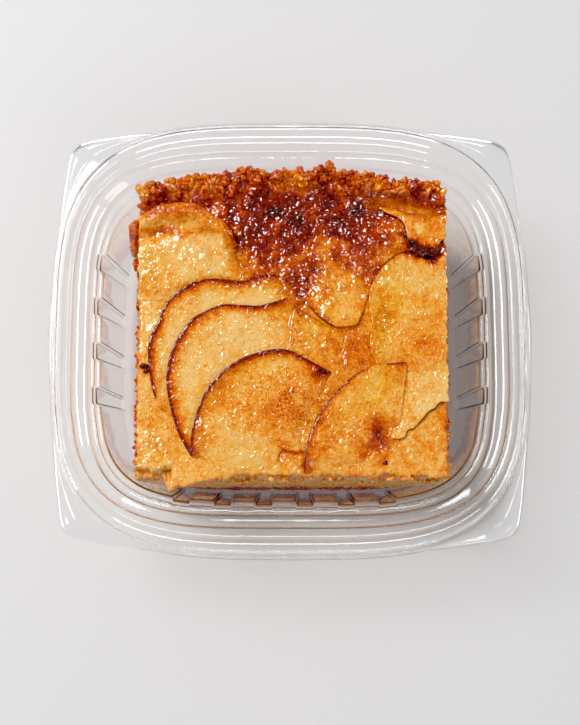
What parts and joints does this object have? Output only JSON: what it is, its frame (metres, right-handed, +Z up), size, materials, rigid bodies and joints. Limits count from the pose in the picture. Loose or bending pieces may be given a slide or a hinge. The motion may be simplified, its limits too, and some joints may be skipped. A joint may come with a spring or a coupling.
{
  "type": "apple cake",
  "caption": "Thick square of baked apple cake with bedded apple slices and a caramelised back edge, standing in a clear ribbed food tub with a beaded rim.",
  "frame": {"origin": "centre of the tub's outline, on the surface that it stands on", "axes": "+Z up, +X to the right, -Y towards the front of the cake; the caramelised edge is at +Y"},
  "size_m": [0.185, 0.1696, 0.061],
  "materials": {
    "tub": "clear, glossy thermoformed sheet",
    "cake": "moist crumb, glazed and caramelised on top",
    "apple": "baked apple flesh under a thin syrup glaze"
  },
  "bodies": {
    "root": {"tub": "tub", "cake": "cake", "slice_front": "apple", "slice_left_inner": "apple", "slice_left_outer": "apple", "slice_front_right": "apple", "slice_right": "apple", "slice_right_low": "apple", "slice_centre": "apple", "slice_centre_low": "apple", "slice_back_left": "apple", "slice_back_right": "apple", "slice_amber": "apple"}
  },
  "joints": []
}
